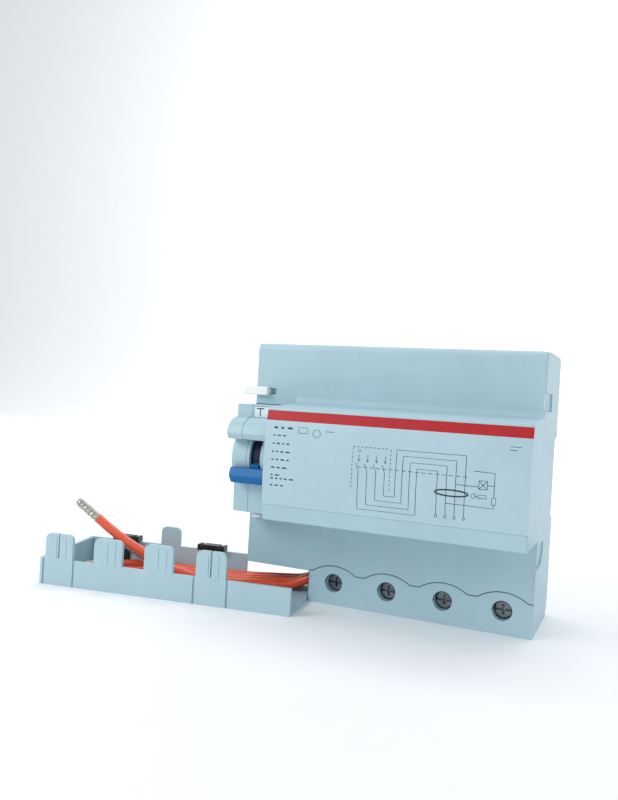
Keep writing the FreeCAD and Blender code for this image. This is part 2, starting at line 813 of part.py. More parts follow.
def inner_leads():
    """Each lead rises through the core, turns over its top and comes down to a contact bar."""
    bar_top = size("-bar_top")
    core_x = -22
    over = 14
    for number, x in each_terminal():
        leave = Vector(*ROUTES[number][0])
        way_in = (leave - Vector(*ROUTES[number][1])).normalize()
        bend = leave + way_in * 5
        y = leave.y
        down_x = max(size(x), core_x + size("core_radius") + 5)
        points = [
            tuple(leave),
            tuple(bend),
            (bend.x, y, bar_top + 1.5),
            (core_x, y, -15),
            (core_x, y, over),
            (down_x, y, over),
        ]
        if number == 1:
            # this terminal sits below the core, so its lead comes back to the left
            foot_x = size(x) + 2.5
            points += [(down_x, y, bar_top + 13), (foot_x, y, bar_top + 6), (foot_x, y, bar_top)]
        else:
            points += [(down_x, y, bar_top)]
        tube(f"inner_lead_{number}", points, size("lead_diameter"))


def terminals():
    bar_front = "(-bar_depth)"
    bar_back = "(-bar_depth + bar_thickness)"
    cage_low = "(screw_z - cage_height / 2)"
    cage_high = "(screw_z + cage_height / 2)"
    cage_front = f"({bar_front} - 1 - cage_wall)"
    cage_back = f"({bar_back} + wire_space + cage_wall)"
    for number, x in each_terminal():
        tag = f"_{number}"
        lead_y = f"(-first_lead_depth + {number - 1} * lead_pitch)"
        strip = box("bar_strip" + tag, (f"{x} - bar_width / 2", f"{x} + bar_width / 2"),
                    (bar_front, bar_back), ("screw_z - cage_height / 2 + 0.5", "-bar_top"))
        tab = box("bar_tab" + tag, (f"{x} - bar_width / 2", f"{x} + bar_width / 2"),
                  (f"{lead_y} - 2.2", bar_back), ("-bar_top - bar_thickness", "-bar_top"))
        sub_part("contact_bar" + tag, fused("bar" + tag, [strip, tab]))
        outer = box("cage_outer" + tag, (f"{x} - cage_width / 2", f"{x} + cage_width / 2"),
                    (cage_front, cage_back), (cage_low, cage_high))
        inner = box("cage_inner" + tag,
                    (f"{x} - cage_width / 2 + cage_wall - 0.15",
                     f"{x} + cage_width / 2 - cage_wall + 0.15"),
                    (f"{cage_front} + cage_wall", f"{cage_back} - cage_wall"),
                    (f"{cage_low} - 1", f"{cage_high} + 1"))
        thread = rod("cage_thread" + tag, "y", (x, f"{cage_front} - 1", "screw_z"),
                     "screw_radius + pin_play", "cage_wall + 2")
        sub_part("terminal_cage" + tag, cut("cage" + tag, outer, inner, thread))
        head = rod("screw_head" + tag, "y", (x, "-head_depth", "screw_z"), "head_radius", "head_length")
        shank = rod("screw_shank" + tag, "y", (x, "-head_depth + head_length", "screw_z"), "screw_radius",
                    f"head_depth - head_length - bar_depth - 0.1")
        slot = box("screw_slot" + tag, (f"{x} - 4", f"{x} + 4"), ("-head_depth - 1", "-head_depth + 1.2"),
                   ("screw_z - 0.45", "screw_z + 0.45"))
        cross = box("screw_cross" + tag, (f"{x} - 0.45", f"{x} + 0.45"),
                    ("-head_depth - 1", "-head_depth + 1.6"),
                    ("screw_z - 1.9", "screw_z + 1.9"))
        sub_part("terminal_screw" + tag,
                 cut("screw" + tag, fused("screw_solid" + tag, [head, shank]), slot, cross))


# ---- rail latches and coupling clips ----

def latches():
    """Two sprung slides behind the block that hold the rail from below."""
    rail_edge = "(-rail_height / 2)"
    for name, x in LATCH_X.items():
        side = name.split("_")[1]
        web = box("latch_web_" + side, (f"{x} - latch_half_width", f"{x} + latch_half_width"),
                  ("0.45", "3.8"),
                  ("base + 4.5", f"{rail_edge} + 2"))
        flange = box("latch_flange_" + side, (f"{x} - latch_flange", f"{x} + latch_flange"), ("0.5", "2"),
                     ("base + 4.5", f"{rail_edge} - 1"))
        lip_room = box("latch_lip_" + side, (f"{x} - 9", f"{x} + 9"), ("0.3", "hook_gap"),
                       (f"{rail_edge} - 0.1", "-15"))
        window = box("latch_window_" + side, (f"{x} - 2.5", f"{x} + 2.5"), ("0", "5"),
                     ("-spring_seat - 3.5", "-spring_seat + 8"))
        tool_slot = box("latch_slot_" + side, (f"{x} - 3", f"{x} + 3"), ("2.4", "5"), ("-34", "-31.5"))
        sub_part(f"rail_latch_{side}",
                 cut("latch_" + side, fused("latch_solid_" + side, [web, flange]), lip_room, window,
                     tool_slot))
        centre = Vector(size(x), 2.15, size("-spring_seat"))
        helix_spring(f"latch_spring_{side}", centre, "z", 1.3, 0.25, 8, 7)


def clips():
    for name, z, low, high in (("upper", "28.5", "left - 5", "left + 6.4"),
                               ("lower", "-26.1", "left + 2.6", "left + 6.4")):
        thick = "1.9" if name == "upper" else "0.8"
        tongue = "1.1" if name == "upper" else "0.7"
        bar = box("clip_bar_" + name, (low, high), ("front - 2.6", "front - 0.1"),
                  (f"{z} - {thick}", f"{z} + {thick}"))
        foot = box("clip_foot_" + name, ("left + 2.8", high), ("front - 1", "front + 2"),
                   (f"{z} - {tongue}", f"{z} + {tongue}"))
        solid = fused("clip_" + name, [bar, foot])
        soft = rounded("clip_soft_" + name, solid, 0.5,
                       lambda edge: middle(edge).y < size("front - 1.5"))
        sub_part(f"{name}_coupling_clip", soft)


# ---- tray, cables and ferrules ----


def tray_placement():
    """The tray stands on the same floor as the block, turned under its leads."""
    corner = Vector(size("notch_right + tray_corner_right"), size("front - tray_corner_ahead"),
                    size("base"))
    return Placement(corner, Rotation(Vector(0, 0, 1), size("tray_yaw")))


def finger_x(number):
    """A front finger's middle; the fingers keep the pitch of the terminals."""
    return f"(-tray_length + first_finger + {number} * terminal_pitch)"


def cable_tray():
    """The loose wire tray, drawn from its open end's front corner with its length along -X."""
    body = body_named("cable_tray_body")
    front_top = "tray_front_height"
    rear_top = "tray_rear_height"
    tip = "(tray_front_height + finger_rise)"
    floor = rectangle(sketch_on(body, "XY_Plane", "0"), ("-tray_length", "0"), ("0", "tray_width"))
    pad(body, floor, "tray_floor")
    corners = [("-tray_length", "0"), ("0", "0"), ("0", front_top)]
    for number in (3, 2, 1, 0):
        x = finger_x(number)
        corners += [(f"{x} + finger_width / 2", front_top), (f"{x} + finger_width / 2", tip),
                    (f"{x} - finger_width / 2", tip), (f"{x} - finger_width / 2", front_top)]
    corners += [("-tray_length", front_top)]
    pad(body, outline(sketch_on(body, "XZ_Plane", "0"), corners), "tray_wall", True)
    x = "(-tray_length + rear_finger)"
    half = "rear_finger_width / 2"
    rear = [("-tray_length", "0"), ("-tray_gap", "0"), ("-tray_gap", rear_top),
            (f"{x} + {half}", rear_top), (f"{x} + {half}", tip), (f"{x} - {half}", tip),
            (f"{x} - {half}", rear_top),
            ("-tray_length", rear_top)]
    pad(body, outline(sketch_on(body, "XZ_Plane", "-tray_width"), rear), "tray_wall")
    end = outline(sketch_on(body, "YZ_Plane", "-tray_length"),
                  [("0", "0"), ("tray_width", "0"), ("tray_width", rear_top), ("0", front_top)])
    pad(body, end, "tray_wall")
    fillet(body, "2.5", lambda edge: along(edge, "y") and near(middle(edge).z, tip))
    fillet(body, "1.5", lambda edge: along(edge, "z") and near(middle(edge).x, "-tray_length")
           and near(middle(edge).y, "0"))
    # grooves down the front wall beside the outer fingers, and the slits that split them
    grooves = sketch_on(body, "XZ_Plane", "0")
    slits = sketch_on(body, "XZ_Plane", "0")
    for number in (0, 3):
        x = finger_x(number)
        for side in ("-", "+"):
            middle_x = f"{x} {side} (finger_width / 2 + 0.7)"
            rectangle(grooves, (f"{middle_x} - 0.4", f"{middle_x} + 0.4"), ("0", front_top))
        rectangle(slits, (f"{x} - 0.3", f"{x} + 0.3"), (f"{front_top} + 0.5", tip))
    pocket(body, grooves, "0.7")
    pocket(body, slits, "tray_wall")
    body.Placement = tray_placement()
    sub_part("cable_tray", body)


def tray_clips():
    """Two black T clips hooked over the tray's rear wall."""
    inner = "(tray_width - tray_wall)"
    top = "tray_rear_height"
    half = "tray_clip_width / 2"
    for side in ("left", "right"):
        x = f"(-tray_length + {side}_tray_clip)"
        bar = box("clip_top_" + side, (f"{x} - {half}", f"{x} + {half}"),
                  (f"{inner} - 2.4", "tray_width + 0.8"),
                  (top, f"{top} + 2.6"))
        stem = box("clip_stem_" + side, (f"{x} - 1.5", f"{x} + 1.5"), (f"{inner} - 1", inner),
                   ("tray_floor + 2", top))
        notches = [
            box(f"clip_notch_{end}_" + side, (f"{x} + {at} - 0.5", f"{x} + {at} + 0.5"),
                (f"{inner} - 3", "tray_width + 2"), (f"{top} + 1.7", f"{top} + 3"))
            for end, at in (("a", "(-4.4)"), ("b", "4.4"))
        ]
        clip = cut("tray_clip_solid_" + side, fused("tray_clip_t_" + side, [bar, stem]), *notches)
        clip.Placement = tray_placement()
        sub_part(f"tray_clip_{side}", clip)


def ferrule(name, start, way):
    """A crimped sleeve on a cable's end, from where it meets the insulation."""
    radius = 2.2
    length = 13
    sleeve = Part.makeCylinder(radius, length)
    tip = Part.makeCone(radius, 1.5, 1.6, Vector(0, 0, length))
    solid = sleeve.fuse(tip)
    for step in range(4):
        dent = Part.makeBox(2.6, 1.6, 1.7, Vector(-1.3, -radius - 0.7, 2 + step * 2.9))
        solid = solid.cut(dent)
    sleeve_part = doc.addObject("Part::Feature", name + "_sleeve")
    sleeve_part.Shape = solid
    sleeve_part.Placement = Placement(start, Rotation(Vector(0, 0, 1), way))
    sub_part(name, sleeve_part)


# Points of each lead outside the block, from the block's face to its ferrule.
# The first run of every lead has the same direction, which its inside part shares.
ROUTES = {
    1: [(-31.25, -31.7, -49.9), (-39.5, -33.2, -55.1), (-50, -38.6, -55.2), (-63, -45.5, -55.2),
        (-79, -50, -54.8), (-93, -52, -51.9), (-106, -53.4, -46.4), (-119, -53.6, -41.2),
        (-131, -53.4, -34.6)],
    2: [(-31.25, -26.95, -49.9), (-39.5, -28.45, -55.1), (-50, -33.65, -55.2), (-62, -40.1, -55.2),
        (-77, -43.8, -55.2), (-90, -45.5, -55.2), (-103, -50.5, -55.2), (-112, -57, -55.2)],
    3: [(-31.25, -22.2, -49.9), (-39.5, -23.7, -55.1), (-50, -28.75, -55.2), (-62, -35.1, -55.2),
        (-77, -39, -55.2), (-92, -41, -55.2), (-103, -42.2, -54), (-112, -43, -50.5)],
    4: [(-31.25, -17.45, -49.9), (-39.5, -18.95, -55.1), (-50, -23.85, -55.2), (-62, -30.1, -55.2),
        (-77, -34.3, -55.2), (-92, -36.3, -55.2), (-107, -37.9, -55.2), (-118, -42.6, -55.2),
        (-124, -49, -55.2)],
}


def cables():
    for number, points in ROUTES.items():
        tube(f"cable_{number}", points, size("lead_diameter"))
        last = Vector(*points[-1])
        way = last - Vector(*points[-2])
        ferrule(f"ferrule_{number}", last, way)


def case_screws():
    """The long screws that hold the two cases together, from wall to wall."""
    upper = "shoulder_depth - front_wall + rear_depth - wall"
    lower = "shoulder_depth - front_wall - wall"
    places = (("left + 5", "top_above_axis - 6", upper), ("right - 5", "top_above_axis - 6", upper),
              ("right - 4.5", "-40", lower), ("left + 5", "-40", lower))
    pieces = []
    for number, (x, z, length) in enumerate(places):
        pieces.append(rod(f"case_screw_{number}", "y", (x, "inner_front", z), "1.5", length))
    sub_part("case_screws", fused("case_screw_set", pieces))


def main():
    rear_case()
    front_case()
    terminal_cover()
    label_plate()
    control_module()
    handle()
    test_button()
    spring_seat = Vector(size("left + 13.35"), size("-cell_depth + 6"), 19.4)
    helix_spring("test_button_spring", spring_seat, "y", 1.6, 0.25, 4.2, 5)
    relay()
    trip_lever()
    transformer()
    electronics()
    terminals()
    inner_leads()
    latches()
    clips()
    cable_tray()
    tray_clips()
    cables()
    case_screws()
    doc.recompute()
    problems = [f"{obj.Name}: {obj.State}" for obj in doc.Objects if {"Invalid", "Error"} & set(obj.State)]
    problems += [name for name, obj in parts.items() if obj.Shape.isNull() or not obj.Shape.isValid()]
    if problems:
        raise SystemExit("failed objects: " + ", ".join(problems))
    os.makedirs("parts", exist_ok=True)
    for name, obj in parts.items():
        obj.Shape.exportStep(f"parts/{name}.step")
    print(len(parts), "sub-parts written")


main()
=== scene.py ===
import json
import math
import random

import bmesh
import bpy
from mathutils import Matrix, Vector


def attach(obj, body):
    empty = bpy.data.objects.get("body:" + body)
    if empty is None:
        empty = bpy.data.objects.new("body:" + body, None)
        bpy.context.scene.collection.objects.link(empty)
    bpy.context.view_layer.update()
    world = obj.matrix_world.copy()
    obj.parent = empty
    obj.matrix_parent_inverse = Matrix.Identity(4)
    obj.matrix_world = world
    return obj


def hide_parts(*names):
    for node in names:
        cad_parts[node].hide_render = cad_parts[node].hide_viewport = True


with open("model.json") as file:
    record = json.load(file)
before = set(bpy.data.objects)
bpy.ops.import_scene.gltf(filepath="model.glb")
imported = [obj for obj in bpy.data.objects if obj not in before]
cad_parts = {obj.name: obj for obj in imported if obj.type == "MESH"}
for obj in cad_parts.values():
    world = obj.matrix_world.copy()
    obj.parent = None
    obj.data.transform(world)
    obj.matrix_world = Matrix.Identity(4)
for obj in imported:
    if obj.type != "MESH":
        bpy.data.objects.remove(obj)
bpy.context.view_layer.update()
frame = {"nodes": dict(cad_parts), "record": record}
nodes = frame["nodes"]
behaviour = frame["record"]["behaviour"]
bodyOf = {node: body for body, members in behaviour["bodies"].items() for node in members}
slotOf = {entry["node"]: entry["material_slot"] for entry in frame["record"]["subparts"]}
mm = 0.001
random.seed(7)
print("stage: frame loaded,", len(nodes), "nodes")

# camera

view = {
    "place": Vector((97.36, -337.72, 27.36)) * mm,
    "forward": Vector((-0.40831, 0.91283, -0.00528)).normalized(),
    "roll": math.radians(3.3),
    "lens": 34.57,
    "sensor": 36.0,
    "shift": 0.002,
    "clip": 0.01,
}
level = view["forward"].cross(Vector((0, 0, 1))).normalized()
upright = level.cross(view["forward"])
right = level * math.cos(view["roll"]) + upright * math.sin(view["roll"])
up = upright * math.cos(view["roll"]) - level * math.sin(view["roll"])
cameraData = bpy.data.cameras.new("camera")
cameraData.lens = view["lens"]
cameraData.sensor_width = view["sensor"]
cameraData.shift_x = view["shift"]
cameraData.clip_start = view["clip"]
camera = bpy.data.objects.new("camera", cameraData)
camera.matrix_world = Matrix((
    (right.x, up.x, -view["forward"].x, view["place"].x),
    (right.y, up.y, -view["forward"].y, view["place"].y),
    (right.z, up.z, -view["forward"].z, view["place"].z),
    (0, 0, 0, 1),
))
bpy.context.collection.objects.link(camera)
bpy.context.scene.camera = camera
bpy.context.scene.view_settings.view_transform = "Standard"
print("stage: camera set")


# shader building

class Value:
    # a shader value that formulas can use
    def __init__(self, paint, socket):
        self.paint = paint
        self.socket = socket

    def math(self, operation, *others):
        inputs = {i: other for i, other in enumerate((self, *others))}
        return self.paint.make("ShaderNodeMath", {"operation": operation}, inputs)

    def __add__(self, other):
        return self.math("ADD", other)

    def __radd__(self, other):
        return self.math("ADD", other)

    def __sub__(self, other):
        return self.math("SUBTRACT", other)

    def __rsub__(self, other):
        return (self * -1) + other

    def __mul__(self, other):
        return self.math("MULTIPLY", other)

    def __rmul__(self, other):
        return self.math("MULTIPLY", other)

    def clamped(self):
        return self.paint.make("ShaderNodeClamp", {}, {0: self})

    def over(self, low, high):
        # 0 below low and 1 above high
        settings = {"interpolation_type": "SMOOTHSTEP"}
        return self.paint.make("ShaderNodeMapRange", settings, {0: self, 1: low, 2: high})


class Paint:
    # a material and the nodes that make it
    def __init__(self, name):
        self.material = bpy.data.materials.new(name)
        self.material.use_nodes = True
        self.tree = self.material.node_tree
        self.tree.nodes.clear()
        self.surface = self.tree.nodes.new("ShaderNodeBsdfPrincipled")
        output = self.tree.nodes.new("ShaderNodeOutputMaterial")
        self.tree.links.new(self.surface.outputs[0], output.inputs[0])
        self.place = self.make("ShaderNodeTexCoord", {}, {}, "Object")

    def join(self, value, socket):
        if isinstance(value, Value):
            self.tree.links.new(value.socket, socket)
        else:
            socket.default_value = value

    def make(self, kind, settings, inputs, output=0):
        node = self.tree.nodes.new(kind)
        for name, value in settings.items():
            setattr(node, name, value)
        for name, value in inputs.items():
            self.join(value, node.inputs[name])
        return Value(self, node.outputs[output])

    def noise(self, size, detail=3.0, stretch=None):
        # size is the width of the pattern's patches, in metres
        place = self.place
        if stretch:
            place = self.make("ShaderNodeMapping", {}, {"Vector": place, "Scale": stretch})
        inputs = {"Vector": place, "Scale": 1 / size, "Detail": detail, "Roughness": 0.55}
        return self.make("ShaderNodeTexNoise", {}, inputs)

    def mix(self, amount, one, other):
        inputs = {0: amount, 6: one, 7: other}
        return self.make("ShaderNodeMix", {"data_type": "RGBA"}, inputs, 2)

    def bump(self, height, strength, distance, under=None):
        inputs = {"Height": height, "Strength": strength, "Distance": distance}
        if under:
            inputs["Normal"] = under
        return self.make("ShaderNodeBump", {}, inputs)

    def set(self, **values):
        for name, value in values.items():
            self.join(value, self.surface.inputs[name.replace("_", " ")])
        return self.material


def colour(red, green, blue):
    # linear colour from 0 to 255 display values
    return tuple((value / 255) ** 2.2 for value in (red, green, blue)) + (1.0,)


def shade(base, share):
    return tuple(value * share for value in base[:3]) + (1.0,)


# sizes of the patterns in metres, and how strongly each one shows
moulding = {
    "patchSize": 0.02,
    "grainSize": 0.0004,
    "grainHeight": 0.00002,
    "flowSize": 0.006,
    "flowStretch": (1, 1, 0.25),
    "flowHeight": 0.00006,
    "flowStrength": 0.08,
    "speckSize": 0.0011,
    "speckShare": 0.12,
    "speckTone": 0.72,
    "wornShare": 0.7,
    "coatRoughness": 0.22,
}


def plastic(name, base, rough, grain=0.25, dirt=0.06, coat=0.0):
    # moulded plastic: fine spark texture, faint flow marks, handling wear and settled dust
    paint = Paint(name)
    patches = paint.noise(moulding["patchSize"], 4)
    fine = paint.noise(moulding["grainSize"], 2)
    flow = paint.noise(moulding["flowSize"], 3, moulding["flowStretch"])
    specks = paint.noise(moulding["speckSize"], 1).over(0.68, 0.74)
    worn = (patches * 0.6 + flow * 0.4).over(0.4, 0.65)
    tone = paint.mix(worn * moulding["wornShare"], base, shade(base, 1 - dirt))
    tone = paint.mix(specks * moulding["speckShare"], tone, shade(base, moulding["speckTone"]))
    normal = paint.bump(fine, grain, moulding["grainHeight"])
    normal = paint.bump(flow, moulding["flowStrength"], moulding["flowHeight"], normal)
    return paint.set(
        Base_Color=tone,
        Roughness=(rough + (patches - 0.5) * 0.16 + (fine - 0.5) * 0.08).clamped(),
        Normal=normal,
        Coat_Weight=coat,
        Coat_Roughness=moulding["coatRoughness"],
    )


plating = {
    "scratchSize": 0.0006,
    "scratchHeight": 0.00003,
    "scratchStrength": 0.22,
    "dullSize": 0.003,
    "dullShare": 0.6,
    "dullRoughness": 0.14,
    "tarnish": 0.75,
}


def metal(name, base, rough, scratch=0.35, stretch=(1, 1, 1)):
    # drawn or plated metal with fine scratches and dull patches
    paint = Paint(name)
    lines = paint.noise(plating["scratchSize"], 4, stretch)
    dull = paint.noise(plating["dullSize"], 3).over(0.42, 0.68)
    tone = paint.mix(dull * plating["dullShare"], base, shade(base, plating["tarnish"]))
    return paint.set(
        Base_Color=tone,
        Metallic=1.0,
        Roughness=(rough + dull * plating["dullRoughness"] + (lines - 0.5) * scratch).clamped(),
        Normal=paint.bump(lines, plating["scratchStrength"], plating["scratchHeight"]),
    )


sheath = {
    "drawSize": 0.0012,
    "drawStretch": (0.18, 1, 1),
    "drawHeight": 0.00005,
    "drawStrength": 0.12,
    "drawShare": 0.35,
    "scuffSize": 0.004,
    "scuffShare": 0.25,
    "scuffColour": (232, 116, 70),
    "coat": 0.6,
    "coatRoughness": 0.1,
}


def insulation(name, base):
    # extruded wire cover: glossy, with faint draw lines and scuffs
    paint = Paint(name)
    along = paint.noise(sheath["drawSize"], 3, sheath["drawStretch"])
    scuffs = paint.noise(sheath["scuffSize"], 4).over(0.56, 0.72)
    tone = paint.mix(along * sheath["drawShare"], base, shade(base, 0.8))
    tone = paint.mix(scuffs * sheath["scuffShare"], tone, colour(*sheath["scuffColour"]))
    return paint.set(
        Base_Color=tone,
        Roughness=(0.4 + scuffs * 0.2 + (along - 0.5) * 0.12).clamped(),
        Coat_Weight=sheath["coat"],
        Coat_Roughness=sheath["coatRoughness"],
        Normal=paint.bump(along, sheath["drawStrength"], sheath["drawHeight"]),
    )


def inkAndShade(name, base, rough=0.5):
    # screen print, and also dark lines of painted shade in joints and grooves, a little uneven
    paint = Paint(name)
    patches = paint.noise(0.0015, 3)
    tone = paint.mix(patches.over(0.45, 0.75) * 0.5, base, shade(base, 1.6))
    return paint.set(
        Base_Color=tone,
        Roughness=(rough + (patches - 0.5) * 0.2).clamped(),
        Normal=paint.bump(patches, 0.1, 0.00001),
    )


# one finish for each material slot: colour, roughness, then grain, dirt and coat, or scratch and stretch
looks = {
    "housing": plastic("housing", colour(170, 200, 210), 0.46),
    "plate": plastic("plate", colour(173, 202, 212), 0.42, 0.15),
    "stripe": plastic("stripe", colour(178, 24, 34), 0.36, 0.12, 0.12),
    "handle_blue": plastic("handle_blue", colour(0, 108, 172), 0.5, 0.2, 0.1),
    "button": plastic("button", colour(216, 236, 241), 0.38, 0.2, 0.04),
    "clip_white": plastic("clip_white", colour(244, 248, 248), 0.34, 0.18, 0.03, 0.1),
    "clip_black": plastic("clip_black", colour(12, 15, 17), 0.42, 0.35, 0.3),
    "insulation": insulation("insulation", colour(226, 74, 22)),
    "tin": metal("tin", colour(170, 168, 160), 0.36, 0.3, (0.2, 1, 1)),
    # zinc is the screws' grey plating, darkened further as painted shade for the screw heads deep in their
    # holes
    "zinc": metal("zinc", colour(128, 134, 138), 0.34),
    "brass": metal("brass", colour(206, 170, 98), 0.28),
    "spring": metal("spring", colour(150, 152, 156), 0.32),
    "ferrite": plastic("ferrite", colour(62, 62, 66), 0.6, 0.5, 0.2),
    "copper": metal("copper", colour(196, 118, 72), 0.32, 0.3, (1, 1, 6)),
    "board": plastic("board", colour(34, 96, 58), 0.4, 0.3, 0.2),
    "component": plastic("component", colour(40, 40, 46), 0.45, 0.3, 0.2),
    "latch": plastic("latch", colour(72, 76, 80), 0.5, 0.5, 0.15),
}
extras = {
    # the handle drum's dark blue is painted shade for the gap under the housing's lip
    "drumPaintedShade": plastic("drumPaintedShade", colour(0, 26, 70), 0.6, 0.2, 0.1),
    "printInk": inkAndShade("print_ink", colour(38, 46, 54)),
    "faintInk": inkAndShade("faint_ink", colour(70, 82, 90)),
    # seam and groove lines are painted shade, standing for the shadow in narrow gaps and grooves
    "seamPaintedShade": inkAndShade("seam_painted_shade", colour(44, 58, 66), 0.8),
    "groovePaintedShade": inkAndShade("groove_painted_shade", colour(104, 128, 140), 0.8),
}
for node, thing in nodes.items():
    thing.data.materials.clear()
    thing.data.materials.append(looks[slotOf[node]])
print("stage: materials made,", len(looks) + len(extras))


# pieces

def finished(name, mesh, body, replaced=()):
    piece = bpy.data.objects.new(name, mesh)
    bpy.context.collection.objects.link(piece)
    if replaced:
        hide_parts(*replaced)
    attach(piece, body)
    return piece


def baked(thing):
    # the evaluated shape as a plain mesh
    graph = bpy.context.evaluated_depsgraph_get()
    return bpy.data.meshes.new_from_object(thing.evaluated_get(graph), depsgraph=graph)


def smooth(mesh, sharpAngle=None):
    mesh.polygons.foreach_set("use_smooth", [True] * len(mesh.polygons))
    if sharpAngle:
        mesh.set_sharp_from_angle(angle=sharpAngle)


merging = {"distance": 1e-6, "flatAngle": math.radians(1)}


def merged(mesh):
    # the mesh's loose triangles joined, with each flat area as one face
    work = bmesh.new()
    work.from_mesh(mesh)
    bmesh.ops.remove_doubles(work, verts=work.verts, dist=merging["distance"])
    bmesh.ops.dissolve_limit(work, angle_limit=merging["flatAngle"], verts=work.verts, edges=work.edges)
    return work


edgeAngle = math.radians(28)


def softened(node, width, segments=2, recolour=None):
    # the node's own shape with small rounded edges
    mesh = nodes[node].data.copy()
    work = merged(mesh)
    work.to_mesh(mesh)
    work.free()
    mesh.materials.clear()
    mesh.materials.append(looks[slotOf[node]])
    if recolour:
        mesh.materials.append(recolour["material"])
        for face in mesh.polygons:
            face.material_index = int(recolour["test"](face.center))
    smooth(mesh, edgeAngle)
    draft = bpy.data.objects.new("draft", mesh)
    bpy.context.collection.objects.link(draft)
    bevel = draft.modifiers.new("edge", "BEVEL")
    bevel.width = width
    bevel.segments = segments
    bevel.limit_method = "ANGLE"
    bevel.angle_limit = edgeAngle
    bevel.harden_normals = True
    bevel.use_clamp_overlap = True
    bpy.context.view_layer.update()
    shape = baked(draft)
    bpy.data.objects.remove(draft)
    return finished(node + "_moulded", shape, bodyOf[node], [node])


# width of the rounded edges in mm
softEdges = {
    "front_case": 0.25,
    "rear_case": 0.25,
    "terminal_cover": 0.15,
    "label_plate": 0.12,
    "label_stripe": 0.05,
    "trip_module_left_shell": 0.3,
    "trip_module_right_shell": 0.3,
    "test_button": 0.15,
    "upper_coupling_clip": 0.12,
    "lower_coupling_clip": 0.1,
    "cable_tray": 0.22,
    "tray_clip_left": 0.15,
    "tray_clip_right": 0.15,
    "rail_latch_left": 0.2,
    "rail_latch_right": 0.2,
}
for node, width in softEdges.items():
    softened(node, width * mm)
clamp = {"count": 4, "edge": 0.12}
for number in range(1, clamp["count"] + 1):
    softened(f"terminal_screw_{number}", clamp["edge"] * mm)
    softened(f"terminal_cage_{number}", clamp["edge"] * mm)

handle = {
    "axle": Vector((0, -45, 0.5)) * mm,
    "drumRadius": 10.5 * mm,
    "edge": 0.3,
    "edgeSegments": 3,
}


def onDrum(centre):
    # true on the drum, whose dark colour is painted shade for the gap under the housing's lip; false on the
    # stem and the bar
    flat = Vector((0, centre.y, centre.z)) - handle["axle"]
    return flat.length < handle["drumRadius"]


# the drum inside the slot takes the dark painted-shade colour
softened("handle", handle["edge"] * mm, handle["edgeSegments"], {"material": extras["drumPaintedShade"], "test": onDrum})
print("stage: moulded pieces softened")

# leads

# control points in mm, from the notch to the ferrule
leads = {
    "cable_1": [(-31.25, -31.7, -49.9), (-39.5, -33.2, -55.1), (-50, -38.6, -55.2), (-63, -45.5, -55.2),
                (-79, -50, -54.8), (-93, -52, -51.9), (-106, -53.4, -46.4), (-119, -53.6, -41.2),
                (-131, -53.4, -34.6)],
    "cable_2": [(-31.25, -26.95, -49.9), (-39.5, -28.45, -55.1), (-50, -33.65, -55.2), (-62, -40.1, -55.2),
                (-77, -43.8, -55.2), (-90, -45.5, -55.2), (-103, -50.5, -55.2), (-112, -57, -55.2)],
    "cable_3": [(-31.25, -22.2, -49.9), (-39.5, -23.7, -55.1), (-50, -28.75, -55.2), (-62, -35.1, -55.2),
                (-77, -39, -55.2), (-92, -41, -55.2), (-103, -42.2, -54), (-112, -43, -50.5)],
    "cable_4": [(-31.25, -17.45, -49.9), (-39.5, -18.95, -55.1), (-50, -23.85, -55.2), (-62, -30.1, -55.2),
                (-77, -34.3, -55.2), (-92, -36.3, -55.2), (-107, -37.9, -55.2), (-118, -42.6, -55.2),
                (-124, -49, -55.2)],
}
leadDiameter = 4.2 * mm

ferrule = {
    "radius": 2.15 * mm,
    "length": 14.4 * mm,
    "crimps": 5,
    "firstCrimp": 2.2 * mm,
    "crimpPitch": 2.3 * mm,
    "crimpHalf": 0.75 * mm,
    "crimpLeast": 0.35,
    "depth": 0.42 * mm,
    "collar": 0.6 * mm,
    "collarWaist": 0.94,
    "taper": 2.2 * mm,
    "tipRadius": 1.5 * mm,
    "lipDepth": 0.5 * mm,
    "lipShare": 0.8,
    "sharpAngle": math.radians(50),
    "rings": 96,
    "sides": 40,
}


def ferruleRadius(along, angle):
    # crimp dents on two faces, a rolled collar at the wire's side and a taper at the tip
    part = ferrule
    radius = part["radius"]
    if along < part["collar"]:
        waist = part["collarWaist"]
        radius *= waist + (1 - waist) * math.sin(math.pi * along / part["collar"])
    taper = (along - (part["length"] - part["taper"])) / part["taper"]
    if taper > 0:
        radius += (part["tipRadius"] - part["radius"]) * taper
    least = part["crimpLeast"]
    for crimp in range(part["crimps"]):
        away = (along - part["firstCrimp"] - crimp * part["crimpPitch"]) / part["crimpHalf"]
        press = math.exp(-away * away) * (least + (1 - least) * math.cos(angle * 2) ** 2)
        radius -= part["depth"] * press
    return radius


def makeFerrule(name, start, way, body):
    side = way.orthogonal().normalized()
    other = way.cross(side)
    tip = start + way * ferrule["length"]
    work = bmesh.new()
    rings = []
    for ring in range(ferrule["rings"] + 1):
        along = ferrule["length"] * ring / ferrule["rings"]
        row = []
        for step in range(ferrule["sides"]):
            angle = 2 * math.pi * step / ferrule["sides"]
            out = side * math.cos(angle) + other * math.sin(angle)
            row.append(work.verts.new(start + way * along + out * ferruleRadius(along, angle)))
        rings.append(row)
    lipCentre = tip - way * ferrule["lipDepth"]  # the tip's mouth is set back inside its rim
    rings.append([work.verts.new(lipCentre + (vert.co - tip) * ferrule["lipShare"]) for vert in rings[-1]])
    for low, high in zip(rings, rings[1:]):
        for step in range(ferrule["sides"]):
            after = (step + 1) % ferrule["sides"]
            work.faces.new((low[step], low[after], high[after], high[step]))
    work.faces.new(list(reversed(rings[0])))
    work.faces.new(rings[-1])
    bmesh.ops.recalc_face_normals(work, faces=work.faces)
    mesh = bpy.data.meshes.new(name)
    work.to_mesh(mesh)
    work.free()
    smooth(mesh, ferrule["sharpAngle"])
    mesh.materials.append(looks["tin"])
    return finished(name, mesh, body, [name.replace("crimped", "ferrule")])


